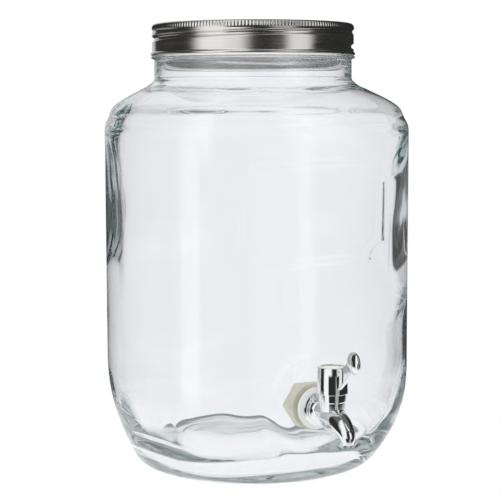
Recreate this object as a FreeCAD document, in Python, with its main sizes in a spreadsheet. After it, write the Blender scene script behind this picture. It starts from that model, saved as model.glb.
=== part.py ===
import FreeCAD
import Part
import Sketcher
import math
import os
import re
from FreeCAD import Placement, Rotation, Vector

# Glass drinks dispenser: a square-shouldered glass jar with a round neck, a screw lid with a
# rolled thread, and a quarter-turn tap clamped through the lower wall.
# Frame: Z is the jar's axis, the jar stands on Z = 0, and the tap points to -Y.

SIZES = {
    # Glass jar
    "flat_half_width": 100.0,
    "corner_radius": 42.0,
    "glass_wall": 5.0,
    "floor_thickness": 9.0,
    "foot_radius": 82.0,
    "foot_round": 5.0,
    "stand_ring_width": 6.0,
    "push_up_depth": 5.0,
    "heel_height": 76.0,
    "body_height": 159.0,
    "shoulder_height": 38.0,
    "neck_height": 12.0,
    "neck_radius": 69.3,
    "mouth_radius": 63.5,
    "ring_radius": 71.8,
    "ring_height": 2.4,
    "finish_radius": 68.3,
    "finish_height": 19.8,
    "rim_chamfer": 1.5,
    "glass_thread_rise": 1.9,
    "glass_thread_width": 3.0,
    # Lid and its seal
    "lid_radius": 71.0,
    "lid_sheet": 0.5,
    "lid_corner": 3.0,
    "lid_gap": 0.2,
    "panel_radius": 59.5,
    "panel_drop": 1.2,
    "curl_reach": 0.8,
    "curl_height": 2.0,
    "thread_pitch": 10.0,
    "thread_start": 277.5,
    "thread_lift": 4.4,
    "thread_margin": 0.2,
    "groove_depth": 1.7,
    "groove_width": 4.4,
    "thread_play": 0.3,
    "seal_inner_radius": 61.5,
    "seal_outer_radius": 67.0,
    "seal_thickness": 1.6,
    "seal_gap": 0.1,
    # Seat of the tap in the jar wall
    "tap_height": 55.0,
    "pad_radius": 16.0,
    "pad_setback": 0.7,
    "pad_thickness": 7.4,
    "spot_radius": 18.5,
    "tap_hole_radius": 8.4,
    # Tap body
    "tail_radius": 7.8,
    "tail_end": 3.5,
    "inlet_radius": 4.0,
    "flange_radius": 11.2,
    "flange_thickness": 2.2,
    "hub_radius": 8.6,
    "hub_length": 2.2,
    "waist_radius": 5.6,
    "waist_length": 4.0,
    "handle_reach": 23.1,
    "elbow_radius": 8.5,
    "collar_radius": 8.9,
    "collar_foot": 9.0,
    "collar_height": 17.5,
    "chamber_radius": 6.2,
    "chamber_depth": 7.2,
    "snap_level": 11.0,
    "snap_height": 1.2,
    "snap_bite": 0.35,
    "elbow_drop": 2.5,
    "spout_bend": 33.0,
    "spout_bend_angle": 34.0,
    "tip_bend": 7.0,
    "tip_length": 0.8,
    "spout_tip_radius": 3.8,
    "outlet_radius": 3.0,
    "outlet_length": 4.0,
    "passage_radius": 3.4,
    # Valve core, its rings and the handle
    "running_gap": 0.1,
    "seat_gap": 0.05,
    "port_radius": 3.3,
    "ring_section": 0.85,
    "groove_clearance": 0.15,
    "lower_ring_level": 5.45,
    "upper_ring_level": 7.0,
    "core_flange_radius": 8.7,
    "core_flange_thickness": 2.0,
    "core_top_recess": 1.0,
    "stop_width": 2.4,
    "stop_depth": 2.0,
    "key_width": 2.0,
    "key_rise": 0.7,
    "key_height": 8.0,
    "sleeve_bottom": 13.9,
    "sleeve_height": 17.5,
    "sleeve_bottom_radius": 10.15,
    "sleeve_top_radius": 9.6,
    "sleeve_bore_radius": 7.3,
    "sleeve_gap": 0.25,
    "arm_thickness": 3.3,
    "arm_reach": 28.6,
    "arm_root_drop": 14.3,
    "arm_width": 10.4,
    "arm_slope": 0.75,
    "paddle_rise": 6.8,
    "paddle_radius": 7.2,
    "paddle_half_thickness": 3.0,
    # Washers and lock nut
    "outer_washer_radius": 14.0,
    "outer_washer_thickness": 3.0,
    "inner_washer_radius": 15.5,
    "inner_washer_thickness": 2.5,
    "washer_clearance": 0.3,
    "nut_corner_radius": 16.5,
    "nut_thickness": 8.0,
    "nut_clearance": 0.1,
}

# Places that several pieces share, each worked out from the sheet.
SHOULDER_START = "(heel_height + body_height)"
NECK_START = f"({SHOULDER_START} + shoulder_height)"
NECK_ROOT = f"({NECK_START} - shoulder_height / 4)"
RING_LEVEL = f"({NECK_START} + neck_height)"
LID_SEAT = f"({RING_LEVEL} + ring_height)"
RIM = f"({LID_SEAT} + finish_height)"
LID_BOTTOM = f"({LID_SEAT} + lid_gap)"
LID_TOP = f"({RIM} + seal_gap + seal_thickness + lid_sheet)"
PAD_FACE = "(flat_half_width - pad_setback)"
SPOT_FACE = f"({PAD_FACE} - pad_thickness)"
VALVE_AXIS = f"({PAD_FACE} + handle_reach)"
FLANGE_SEAT = "(handle_reach - outer_washer_thickness)"
FLANGE_FACE = f"({FLANGE_SEAT} - flange_thickness)"
TAIL_TIP = "(handle_reach + pad_thickness + inner_washer_thickness + nut_thickness + tail_end)"
SLEEVE_TOP = "(sleeve_bottom + sleeve_height)"
FLANGE_BOTTOM = "(collar_height + running_gap)"
FLANGE_TOP = f"({FLANGE_BOTTOM} + core_flange_thickness)"

# Shape of the jar: half angle of a side arc, and the powers of the heel and shoulder curves.
SIDE_ANGLE = math.radians(20)
HEEL_POWER = 2.4
INNER_HEEL_POWER = 3.0
SHOULDER_POWER = 1.6
SHOULDER_OVERRUN = 0.5

# Sections of the jar along its foot round, heel and shoulder.
FOOT_STEPS = 4
HEEL_STEPS = 12
SHOULDER_STEPS = 14

# Power of the spout's taper, which keeps its root full.
SPOUT_TAPER = 1.7

# Share of a bend's radius that a single corner at 45 degrees stands in from the square corner.
BEND_SHARE = 0.3

doc = FreeCAD.newDocument("drinks_dispenser")
sheet = doc.addObject("Spreadsheet::Sheet", "dims")
for row, (alias, size) in enumerate(SIZES.items(), 1):
    sheet.set(f"A{row}", alias)
    sheet.set(f"B{row}", str(size))
    sheet.setAlias(f"B{row}", alias)
doc.recompute()


def formula(text):
    """Expression in which each size is named as a cell of the sheet."""
    return re.sub(r"[a-z]\w*", lambda word: f"dims.{word[0]}" if word[0] in SIZES else word[0], text)


def value(text):
    """Number that an expression stands for."""
    result = sheet.evalExpression(formula(text))
    return float(getattr(result, "Value", result))


def bind(thing, **expressions):
    """Tie properties of an object to the sheet; two underscores stand for a dot."""
    for name, text in expressions.items():
        thing.setExpression(name.replace("__", "."), formula(text))


def new_body(label):
    body = doc.addObject("PartDesign::Body", label)
    body.Label = label
    return body


def sketch_on(body, plane, name, offset=Placement()):
    sketch = body.newObject("Sketcher::SketchObject", name)
    support = next(item for item in body.Origin.OriginFeatures if item.Role == plane)
    sketch.AttachmentSupport = [(support, "")]
    sketch.MapMode = "FlatFace"
    sketch.AttachmentOffset = offset
    return sketch


def draw_outline(sketch, corners):
    """Closed outline of straight lines through corners given as pairs of expressions."""
    points = [Vector(value(x), value(y), 0) for x, y in corners]
    count = len(points)
    for i in range(count):
        sketch.addGeometry(Part.LineSegment(points[i], points[(i + 1) % count]), False)
    for i, (x, y) in enumerate(corners):
        sketch.addConstraint(Sketcher.Constraint("Coincident", i, 2, (i + 1) % count, 1))
        for kind, text in (("DistanceX", x), ("DistanceY", y)):
            index = sketch.addConstraint(Sketcher.Constraint(kind, -1, 1, i, 1, value(text)))
            sketch.setExpression(f"Constraints[{index}]", formula(text))


def draw_circles(sketch, *radii):
    """Circles round the sketch's origin."""
    for i, text in enumerate(radii):
        sketch.addGeometry(Part.Circle(Vector(), Vector(0, 0, 1), value(text)), False)
        sketch.addConstraint(Sketcher.Constraint("Coincident", i, 3, -1, 1))
        index = sketch.addConstraint(Sketcher.Constraint("Radius", i, value(text)))
        sketch.setExpression(f"Constraints[{index}]", formula(text))


def revolve(body, plane, name, corners):
    """Solid of revolution about the vertical axis of the sketch."""
    sketch = sketch_on(body, plane, f"{name}_profile")
    draw_outline(sketch, corners)
    feature = body.newObject("PartDesign::Revolution", name)
    feature.Profile = sketch
    feature.ReferenceAxis = (sketch, ["V_Axis"])
    feature.Angle = 360
    return feature


def pad(body, sketch, name, length, midplane=False):
    feature = body.newObject("PartDesign::Pad", name)
    feature.Profile = sketch
    feature.Midplane = midplane
    bind(feature, Length=length)
    return feature


def primitive(owner, kind, name, place=("0", "0", "0"), turn=Rotation(), **sizes):
    """Primitive of a body (owner) or of the document, with its sizes and place bound."""
    feature = owner.newObject(kind, name) if owner else doc.addObject(kind, name)
    feature.Placement = Placement(Vector(*(value(text) for text in place)), turn)
    bind(feature, **sizes)
    for axis, text in zip("xyz", place):
        bind(feature, **{f"Placement__Base__{axis}": text})
    return feature


def move_body(body, place, turn=Rotation()):
    """Put a body at a place given by expressions."""
    body.Placement = Placement(Vector(*(value(text) for text in place)), turn)
    for axis, text in zip("xyz", place):
        bind(body, **{f"Placement__Base__{axis}": text})


ALONG_TAP = Rotation(Vector(1, 0, 0), 90)
TAP_CENTRE = ("0", f"-{VALVE_AXIS}", "tap_height")


def jar_section(half_width, corner, level):
    """Rounded square of four side arcs and four corner arcs, a circle where the two sizes agree."""
    slack = 1 - math.cos(SIDE_ANGLE) + math.sin(SIDE_ANGLE)
    side = (half_width - corner) / slack + corner
    centre = (side - corner) * math.sin(SIDE_ANGLE)
    edges = []
    for quarter in range(4):
        turn = Rotation(Vector(0, 0, 1), 90 * quarter)

        def side_point(angle):
            x = half_width - side + side * math.cos(angle)
            return turn.multVec(Vector(x, side * math.sin(angle), level))

        def corner_point(angle):
            x = centre + corner * math.cos(angle)
            return turn.multVec(Vector(x, centre + corner * math.sin(angle), level))

        corner_ends = (SIDE_ANGLE, math.pi / 4, math.pi / 2 - SIDE_ANGLE)
        side_ends = (-SIDE_ANGLE, 0, SIDE_ANGLE)
        edges.append(Part.Arc(*(side_point(angle) for angle in side_ends)).toShape())
        edges.append(Part.Arc(*(corner_point(angle) for angle in corner_ends)).toShape())
    return Part.Wire(edges)


def jar_form(name, bottom, foot, foot_round, heel_power, inset, neck):
    """Solid that turns from a round foot into the rounded square and back into a round neck."""
    wide = value("flat_half_width") - inset
    corner = value("corner_radius") - inset
    heel_top = value("heel_height")
    shoulder = value(SHOULDER_START)
    rise = value("shoulder_height")
    sections = []

    def add_section(level, round_radius, share, cut=0.0):
        half_width = round_radius + (wide - round_radius) * share - cut
        corner_size = round_radius + (corner - round_radius) * share - cut
        sections.append(jar_section(half_width, corner_size, level))

    heel_steps = [step * foot_round / FOOT_STEPS for step in range(FOOT_STEPS)]
    heel_rise = heel_top - bottom - foot_round
    heel_steps += [foot_round + heel_rise * step / HEEL_STEPS for step in range(HEEL_STEPS + 1)]
    for step in heel_steps:
        share = 1 - (1 - step / (heel_top - bottom)) ** heel_power
        lift = max(0.0, 1 - step / foot_round)
        add_section(bottom + step, foot, share, foot_round * (1 - math.sqrt(1 - lift * lift)))
    for step in range(SHOULDER_STEPS + 1):
        along = step / SHOULDER_STEPS
        share = (1 + math.cos(math.pi * along ** SHOULDER_POWER)) / 2
        add_section(shoulder + rise * along, neck - SHOULDER_OVERRUN, share)
    form = doc.addObject("Part::Feature", name)
    form.Shape = Part.makeLoft(sections, True, True)
    return form


def helical_ridge(name, section, start_angle, start_level, turns):
    """Sweep of a section, points (radius, height), along a right-hand helix about the jar's axis."""
    pitch = value("thread_pitch")
    radius = section[0][0]
    helix = Part.makeHelix(pitch, pitch * turns, radius)
    corners = [Vector(r, 0, z) for r, z in section]
    profile = Part.makePolygon(corners + corners[:1])
    shell = Part.BRepOffsetAPI.MakePipeShell(Part.Wire(helix.Edges))
    shell.setFrenetMode(True)
    shell.add(profile)
    shell.build()
    shell.makeSolid()
    ridge = doc.addObject("Part::Feature", name)
    ridge.Shape = shell.shape()
    ridge.Placement = Placement(Vector(0, 0, start_level), Rotation(Vector(0, 0, 1), start_angle))
    return ridge


def join(kind, name, *shapes):
    """Boolean of document objects."""
    feature = doc.addObject(kind, name)
    if kind == "Part::MultiFuse":
        feature.Shapes = list(shapes)
    else:
        feature.Base, feature.Tool = shapes
    return feature


def make_glass_jar():
    outer = jar_form("jar_outer_form", 0.0, value("foot_radius"), value("foot_round"), HEEL_POWER,
                     0.0, value("neck_radius"))
    wall = value("glass_wall")
    inner = jar_form("jar_inner_form", value("floor_thickness"), value("foot_radius - 2 * glass_wall"),
                     value("foot_round"), INNER_HEEL_POWER, wall, value("mouth_radius"))

    neck = new_body("jar_neck_form")
    lip = f"({RIM} - rim_chamfer)"
    revolve(neck, "XZ_Plane", "Neck", [
        ("0", NECK_ROOT), ("neck_radius", NECK_ROOT), ("neck_radius", RING_LEVEL),
        ("ring_radius", f"{RING_LEVEL} + ring_height / 3"),
        ("ring_radius", f"{RING_LEVEL} + ring_height * 2 / 3"),
        ("finish_radius", LID_SEAT), ("finish_radius", lip),
        ("finish_radius - rim_chamfer", RIM), ("0", RIM)])

    mouth = new_body("jar_mouth_form")
    revolve(mouth, "XZ_Plane", "Mouth", [
        ("0", NECK_ROOT), ("mouth_radius", NECK_ROOT), ("mouth_radius", lip),
        ("mouth_radius + rim_chamfer", RIM), ("mouth_radius + rim_chamfer", f"{RIM} + lid_sheet"),
        ("0", f"{RIM} + lid_sheet")])

    half = value("glass_thread_width / 2")
    root = value("finish_radius - glass_wall / 5")
    crest = value("finish_radius + glass_thread_rise")
    level = value(f"{LID_BOTTOM} + thread_lift + (groove_width + glass_thread_width) / 2 + thread_play")
    turns = (value(f"{lip} - thread_margin") - half - level) / value("thread_pitch")
    thread = helical_ridge("jar_thread", [(root, -half), (crest, -half / 2), (crest, half / 2), (root, half)],
                           value("thread_start"), level, turns)

    boss = primitive(None, "Part::Cylinder", "tap_boss", ("0", f"-{SPOT_FACE}", "tap_height"), ALONG_TAP,
                     Radius="pad_radius", Height="pad_thickness")
    inner_boss = primitive(None, "Part::Cylinder", "spot_boss", ("0", f"-{SPOT_FACE}", "tap_height"),
                           ALONG_TAP, Radius="spot_radius", Height="glass_wall")
    outer_cut = primitive(None, "Part::Cylinder", "pad_cut", ("0", f"-{PAD_FACE}", "tap_height"), ALONG_TAP,
                          Radius="pad_radius", Height="glass_wall")
    inward = f"-{SPOT_FACE} + 3 * glass_wall"
    spot_cut = primitive(None, "Part::Cylinder", "spot_cut", ("0", inward, "tap_height"), ALONG_TAP,
                         Radius="spot_radius", Height="3 * glass_wall")
    hole = primitive(None, "Part::Cylinder", "tap_hole", ("0", inward, "tap_height"), ALONG_TAP,
                     Radius="tap_hole_radius", Height="pad_thickness + 4 * glass_wall")
    cap_radius = "(foot_radius - foot_round - stand_ring_width)"
    sphere_radius = f"(({cap_radius} * {cap_radius} + push_up_depth * push_up_depth) / (2 * push_up_depth))"
    push_up = primitive(None, "Part::Sphere", "push_up", ("0", "0", f"push_up_depth - {sphere_radius}"),
                        Radius=sphere_radius)
    doc.recompute()

    outside = join("Part::MultiFuse", "jar_outside", outer, neck, thread)
    hollow = join("Part::MultiFuse", "jar_hollow", inner, mouth)
    shell = join("Part::Cut", "jar_shell", outside, hollow)
    seat = join("Part::MultiFuse", "jar_with_seat", shell, boss, inner_boss)
    cuts = join("Part::MultiFuse", "jar_cuts", outer_cut, spot_cut, hole, push_up)
    jar = join("Part::Cut", "glass_jar", seat, cuts)
    jar.Label = "glass_jar"
    return jar


def make_lid_shell():
    form = new_body("lid_form")
    inside = "(lid_radius - lid_sheet)"
    under = f"({LID_TOP} - lid_sheet)"
    bend = f"(lid_corner * {BEND_SHARE})"
    inner_bend = f"((lid_corner - lid_sheet) * {BEND_SHARE})"
    curl = "(lid_radius + curl_reach)"
    revolve(form, "XZ_Plane", "Lid", [
        ("0", f"{LID_TOP} - panel_drop"), ("panel_radius", f"{LID_TOP} - panel_drop"),
        ("panel_radius + panel_drop", LID_TOP), ("lid_radius - lid_corner", LID_TOP),
        (f"lid_radius - {bend}", f"{LID_TOP} - {bend}"), ("lid_radius", f"{LID_TOP} - lid_corner"),
        ("lid_radius", f"{LID_BOTTOM} + curl_height"), (curl, f"{LID_BOTTOM} + curl_height * 2 / 3"),
        (curl, f"{LID_BOTTOM} + curl_height / 4"), ("lid_radius", LID_BOTTOM),
        (inside, LID_BOTTOM), (inside, f"{under} - lid_corner + lid_sheet"),
        (f"{inside} - {inner_bend}", f"{under} - {inner_bend}"),
        (f"{inside} - lid_corner + lid_sheet", under),
        ("panel_radius + panel_drop", under), ("panel_radius", f"{under} - panel_drop"),
        ("0", f"{under} - panel_drop")])
    doc.recompute()

    outer = value("lid_radius")
    sheet_size = value("lid_sheet")
    depth = value("groove_depth")
    half = value("groove_width / 2")
    start = value("thread_start")
    level = value(f"{LID_BOTTOM} + thread_lift")
    turns = (value(f"{LID_TOP} - lid_corner - thread_margin") - half - level) / value("thread_pitch")
    crest = outer - depth - sheet_size
    root = outer - sheet_size / 2
    ridge_section = [(root, -half), (crest, -half / 3), (crest, half / 3), (root, half)]
    ridge = helical_ridge("lid_ridge", ridge_section, start, level, turns)
    inset = half - sheet_size
    over = outer + sheet_size
    bed = outer - depth
    groove_section = [(over, -inset), (bed, -inset / 3), (bed, inset / 3), (over, inset)]
    groove = helical_ridge("lid_groove", groove_section, start, level, turns)
    ribbed = join("Part::MultiFuse", "lid_ribbed", form, ridge)
    lid = join("Part::Cut", "lid_shell", ribbed, groove)
    lid.Label = "lid_shell"
    return lid


def make_lid_seal():
    body = new_body("lid_seal_ring")
    sketch = sketch_on(body, "XY_Plane", "Seal_profile")
    draw_circles(sketch, "seal_outer_radius", "seal_inner_radius")
    pad(body, sketch, "Seal", "seal_thickness")
    move_body(body, ("0", "0", f"{RIM} + seal_gap"))
    return body


def spout_stations(root_level):
    """Stations along the spout: forward reach, height, slope and share of the length."""
    knee = math.radians(value("spout_bend_angle"))
    bends = ((value("spout_bend"), 0.0, knee, 6), (value("tip_bend"), knee, math.pi / 2, 3))
    total = sum(radius * (end - begin) for radius, begin, end, _ in bends) + value("tip_length")
    drop = value("elbow_drop")
    path = [(0.0, -drop, 0.0, 0.0)]
    for radius, begin, end, steps in bends:
        reach, level, _, share = path[-1]
        for step in range(1, steps + 1):
            angle = begin + (end - begin) * step / steps
            path.append((reach + radius * (math.sin(angle) - math.sin(begin)),
                         level + radius * (math.cos(angle) - math.cos(begin)),
                         angle, share + radius * (angle - begin) / total))
    return [(reach, level + (root_level + drop) * (1 - share), angle, share)
            for reach, level, angle, share in path]


def spout_loft(body, kind, name, root_level, root, tip):
    """Loft of circles along the spout, from a root radius to a tip radius."""
    sketches = []
    for index, (reach, level, angle, share) in enumerate(spout_stations(root_level)):
        offset = Placement(Vector(0, level, reach), Rotation(Vector(1, 0, 0), math.degrees(angle)))
        sketch = sketch_on(body, "XZ_Plane", f"{name}_section_{index}", offset)
        draw_circles(sketch, f"{root} + ({tip} - {root}) * {share ** SPOUT_TAPER:.4f}")
        sketches.append(sketch)
    loft = body.newObject(kind, name)
    loft.Profile = sketches[0]
    loft.Sections = sketches[1:]
    return loft


def make_tap_body():
    body = new_body("tap_body")
    revolve(body, "XY_Plane", "Tail", [
        ("0", "0"), ("waist_radius", "0"), ("waist_radius", f"{FLANGE_FACE} - waist_length"),
        ("hub_radius", f"{FLANGE_FACE} - hub_length"), ("hub_radius", FLANGE_FACE),
        ("flange_radius", FLANGE_FACE), ("flange_radius", FLANGE_SEAT), ("tail_radius", FLANGE_SEAT),
        ("tail_radius", TAIL_TIP), ("0", TAIL_TIP)])
    elbow = ("0", "0", "-elbow_drop")
    primitive(body, "PartDesign::AdditiveSphere", "Elbow", elbow, Radius="elbow_radius")
    primitive(body, "PartDesign::AdditiveCylinder", "Barrel", elbow, Radius="elbow_radius",
              Height="elbow_drop + collar_foot")
    primitive(body, "PartDesign::AdditiveCylinder", "Collar", ("0", "0", "collar_foot"),
              Radius="collar_radius", Height="collar_height - collar_foot")
    elbow_level = -value("elbow_drop")
    root = "(elbow_radius - 3 * running_gap)"
    spout_loft(body, "PartDesign::AdditiveLoft", "Spout", elbow_level, root, "spout_tip_radius")
    tip_reach, tip_level = spout_stations(elbow_level)[-1][:2]
    tip_end = Vector(0, -tip_reach, tip_level - value("tip_length"))
    tip = body.newObject("PartDesign::AdditiveCylinder", "Tip")
    bind(tip, Radius="spout_tip_radius", Height="tip_length")
    tip.Placement = Placement(tip_end, Rotation())
    primitive(body, "PartDesign::SubtractiveCylinder", "Chamber", ("0", "0", "-chamber_depth"),
              Radius="chamber_radius", Height="chamber_depth + collar_height + running_gap")
    primitive(body, "PartDesign::SubtractiveCylinder", "Snap_groove",
              ("0", "0", "snap_level - snap_height / 2 - running_gap"),
              Radius="chamber_radius + snap_bite", Height="snap_height + 2 * running_gap")
    primitive(body, "PartDesign::SubtractiveCylinder", "Inlet", ("0", TAIL_TIP, "0"), ALONG_TAP,
              Radius="inlet_radius", Height=TAIL_TIP)
    spout_loft(body, "PartDesign::SubtractiveLoft", "Passage", 0.0, "passage_radius",
               "(outlet_radius - running_gap)")
    outlet = body.newObject("PartDesign::SubtractiveCylinder", "Outlet")
    bind(outlet, Radius="outlet_radius", Height="outlet_length")
    outlet.Placement = Placement(tip_end, Rotation())
    stop_floor = "collar_height - stop_depth - running_gap"
    primitive(body, "PartDesign::SubtractiveBox", "Stop_recess",
              ("-2 * collar_radius", "-stop_width - 2 * running_gap", stop_floor),
              Length="2 * collar_radius", Width="2 * collar_radius", Height="2 * stop_depth")
    move_body(body, TAP_CENTRE)
    return body


def make_washer(label, radius, thickness, face):
    """Flat ring on the tap's tail, from a face of the jar's seat outwards."""
    body = new_body(label)
    sketch = sketch_on(body, "XY_Plane", "Washer_profile")
    draw_circles(sketch, radius, "tail_radius + washer_clearance")
    pad(body, sketch, "Washer", thickness)
    move_body(body, ("0", face, "tap_height"), ALONG_TAP)
    return body


def make_lock_nut():
    body = new_body("tap_lock_nut")
    sketch = sketch_on(body, "XY_Plane", "Nut_profile")
    turns = [f"({60 * step} deg)" for step in range(6)]
    size = "nut_corner_radius"
    draw_outline(sketch, [(f"{size} * cos{turn}", f"{size} * sin{turn}") for turn in turns])
    pad(body, sketch, "Nut", "nut_thickness")
    doc.recompute()
    primitive(body, "PartDesign::SubtractiveCylinder", "Thread_bore", ("0", "0", "-running_gap"),
              Radius="tail_radius + nut_clearance", Height="nut_thickness + 2 * running_gap")
    move_body(body, ("0", f"-{SPOT_FACE} + inner_washer_thickness + nut_thickness", "tap_height"), ALONG_TAP)
    return body


def make_valve_core():
    body = new_body("valve_core")
    shank = "(chamber_radius - running_gap)"
    groove = "(chamber_radius - seat_gap - 2 * ring_section - seat_gap)"
    half = "(ring_section + groove_clearance)"
    bead = "(chamber_radius + snap_bite - running_gap)"
    bottom = "(running_gap - chamber_depth)"
    head = "(sleeve_bore_radius - seat_gap)"
    top = f"({SLEEVE_TOP} - core_top_recess)"
    revolve(body, "XZ_Plane", "Core", [
        ("0", bottom), (shank, bottom),
        (shank, f"-lower_ring_level - {half}"), (groove, f"-lower_ring_level - {half}"),
        (groove, f"-lower_ring_level + {half}"), (shank, f"-lower_ring_level + {half}"),
        (shank, f"upper_ring_level - {half}"), (groove, f"upper_ring_level - {half}"),
        (groove, f"upper_ring_level + {half}"), (shank, f"upper_ring_level + {half}"),
        (shank, "snap_level - snap_height / 2"), (bead, "snap_level"),
        (shank, "snap_level + snap_height / 2"), (shank, FLANGE_BOTTOM),
        ("core_flange_radius", FLANGE_BOTTOM), ("core_flange_radius", FLANGE_TOP),
        (head, FLANGE_TOP), (head, top), ("0", top)])
    reach = "(sleeve_bore_radius + key_rise)"
    primitive(body, "PartDesign::AdditiveBox", "Keys", (f"-{reach}", "-key_width / 2", FLANGE_TOP),
              Length=f"2 * {reach}", Width="key_width", Height="key_height")
    primitive(body, "PartDesign::AdditiveBox", "Stop",
              ("-stop_width - running_gap", "chamber_radius + running_gap", f"{FLANGE_BOTTOM} - stop_depth"),
              Length="stop_width", Width="core_flange_radius - chamber_radius - 3 * running_gap",
              Height="stop_depth + core_flange_thickness / 2")
    primitive(body, "PartDesign::SubtractiveCylinder", "Port", ("-2 * chamber_radius", "0", "0"),
              Rotation(Vector(0, 1, 0), 90), Radius="port_radius", Height="4 * chamber_radius")
    move_body(body, TAP_CENTRE)
    return body


def make_core_ring(label, level):
    """Rubber ring in a groove of the valve core."""
    place = TAP_CENTRE[:2] + (f"tap_height + {level}",)
    ring = primitive(None, "Part::Torus", label, place,
                     Radius1="chamber_radius - seat_gap - ring_section", Radius2="ring_section")
    ring.Label = label
    return ring


def make_handle():
    body = new_body("handle_lever")
    counterbore = "(collar_radius + sleeve_gap)"
    revolve(body, "XZ_Plane", "Sleeve", [
        (counterbore, "sleeve_bottom"), ("sleeve_bottom_radius", "sleeve_bottom"),
        ("sleeve_top_radius", SLEEVE_TOP), ("sleeve_bore_radius", SLEEVE_TOP),
        ("sleeve_bore_radius", FLANGE_TOP), (counterbore, FLANGE_TOP)])
    root = f"({counterbore} + seat_gap)"
    lower = f"({SLEEVE_TOP} - arm_root_drop)"
    upper = f"({lower} + arm_width)"
    arm_end = "(arm_reach - paddle_radius * 0.3)"
    arm_top = "(arm_reach - paddle_radius * 0.7)"
    sketch = sketch_on(body, "YZ_Plane", "Arm_profile")
    draw_outline(sketch, [
        (f"-{root}", lower), (f"-{arm_end}", f"{lower} + ({arm_end} - {root}) * arm_slope"),
        ("-arm_reach - paddle_radius * 0.3", f"{SLEEVE_TOP} + paddle_rise - paddle_radius * 0.6"),
        ("-arm_reach", f"{SLEEVE_TOP} + paddle_rise"),
        (f"-{arm_top}", f"{upper} + ({arm_top} - {root}) * arm_slope"),
        (f"-{root}", upper)])
    pad(body, sketch, "Arm", "arm_thickness", True)
    across = Rotation(Vector(0, -0.8, 0.6), Vector(0, -0.6, -0.8), Vector(1, 0, 0), "ZXY")
    primitive(body, "PartDesign::AdditiveEllipsoid", "Paddle",
              ("0", "-arm_reach", f"{SLEEVE_TOP} + paddle_rise"), across,
              Radius1="paddle_half_thickness", Radius2="paddle_radius", Radius3="paddle_radius")
    reach = "(sleeve_bore_radius + key_rise + running_gap)"
    primitive(body, "PartDesign::SubtractiveBox", "Key_slots",
              (f"-{reach}", "-key_width / 2 - running_gap", FLANGE_TOP),
              Length=f"2 * {reach}", Width="key_width + 2 * running_gap", Height="key_height + running_gap")
    move_body(body, TAP_CENTRE)
    return body


nodes = [
    make_glass_jar(),
    make_lid_shell(),
    make_lid_seal(),
    make_tap_body(),
    make_washer("tap_outer_washer", "outer_washer_radius", "outer_washer_thickness", f"-{PAD_FACE}"),
    make_washer("tap_inner_washer", "inner_washer_radius", "inner_washer_thickness",
                f"-{SPOT_FACE} + inner_washer_thickness"),
    make_lock_nut(),
    make_valve_core(),
    make_core_ring("lower_core_ring", "-lower_ring_level"),
    make_core_ring("upper_core_ring", "upper_ring_level"),
    make_handle(),
]
doc.recompute()

for item in doc.Objects:
    if "Invalid" in item.State or "Error" in item.State:
        raise RuntimeError(f"{item.Name} did not build: {item.State}")
os.makedirs("parts", exist_ok=True)
for node in nodes:
    if node.Shape.isNull() or not node.Shape.isValid():
        raise RuntimeError(f"{node.Label} is not a valid solid")
    print(node.Label, len(node.Shape.Solids), round(node.Shape.Volume, 1))
    node.Shape.exportStep(f"parts/{node.Label}.step")
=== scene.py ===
import bmesh
import bpy
import math
from mathutils import Euler, Matrix, Vector, noise


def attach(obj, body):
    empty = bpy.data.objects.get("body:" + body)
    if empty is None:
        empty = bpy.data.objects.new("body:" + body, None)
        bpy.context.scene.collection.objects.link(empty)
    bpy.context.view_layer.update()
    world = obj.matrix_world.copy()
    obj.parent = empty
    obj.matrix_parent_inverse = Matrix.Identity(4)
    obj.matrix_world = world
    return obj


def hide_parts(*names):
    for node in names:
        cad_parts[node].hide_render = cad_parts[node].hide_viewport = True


# Glass drinks dispenser: clear jar, rolled metal screw lid, chrome lever tap.
# Lengths in the shape functions are millimetres; meshes are scaled to metres when they are finished.

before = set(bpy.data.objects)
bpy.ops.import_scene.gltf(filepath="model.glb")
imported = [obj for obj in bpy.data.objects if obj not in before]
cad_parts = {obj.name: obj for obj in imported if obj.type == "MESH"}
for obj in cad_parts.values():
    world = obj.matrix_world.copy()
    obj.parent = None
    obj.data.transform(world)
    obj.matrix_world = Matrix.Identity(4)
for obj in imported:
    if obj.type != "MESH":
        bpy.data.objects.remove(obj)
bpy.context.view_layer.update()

MM = 0.001
MERGE_GAP = 1e-4
ROUND_STEPS = 96
ORIGIN, UP = (0, 0, 0), (0, 0, 1)

# Middle of the tap, and the outer and inner faces of its seat in the glass
TAP = Vector((0.0, -122.4, 55.0))
PAD_FACE, SPOT_FACE = -99.3, -91.9

# Screw thread of jar and lid
THREAD_START, THREAD_PITCH = math.radians(277.5), 10.0


def part_way(low, high, x):
    """Share of the way from low to high, kept between 0 and 1."""
    return min(1.0, max(0.0, (x - low) / (high - low)))


def smoothstep(low, high, x):
    t = part_way(low, high, x)
    return t * t * (3 - 2 * t)


def gentle_step(low, high, x):
    """A step whose ends leave no crease."""
    t = part_way(low, high, x)
    return t ** 3 * (t * (6 * t - 15) + 10)


def span(start, end, count):
    """Even steps from start to end, both included."""
    return [start + (end - start) * step / count for step in range(count + 1)]


def polar(radius, angle):
    return radius * math.cos(angle), radius * math.sin(angle)


def helix(angle, level, start, lead_in, run_out, flank):
    """Share of a thread's full height at a place on the neck, for a thread that starts at a level."""
    height = 0.0
    for lap in (0, 1):
        turns = ((angle - THREAD_START) % math.tau) / math.tau + lap
        ends = smoothstep(0.0, lead_in, turns) * (1 - smoothstep(*run_out, turns))
        off_middle = abs(level - start - THREAD_PITCH * turns)
        height = max(height, ends * (1 - smoothstep(*flank, off_middle)))
    return height


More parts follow.
